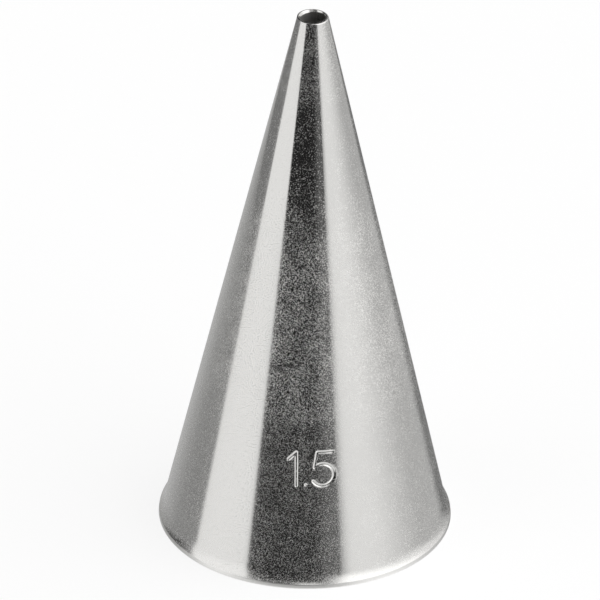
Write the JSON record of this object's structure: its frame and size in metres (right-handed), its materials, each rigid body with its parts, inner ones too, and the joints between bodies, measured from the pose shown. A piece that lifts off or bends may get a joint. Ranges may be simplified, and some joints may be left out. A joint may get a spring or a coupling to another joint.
{
  "type": "piping nozzle",
  "caption": "Plain round piping nozzle: a tall thin-walled steel cone with a flared lip round its base and a small reamed round outlet.",
  "frame": {"origin": "centre of the base plane, on the nozzle's axis", "axes": "+Z along the axis, from the base towards the outlet; the stamped size number faces -Y"},
  "size_m": [0.0175, 0.0174, 0.0342],
  "materials": {
    "steel": "tumbled to a soft shine with a fine grain, smoother towards the outlet"
  },
  "bodies": {
    "root": {"nozzle": "steel"}
  },
  "joints": []
}
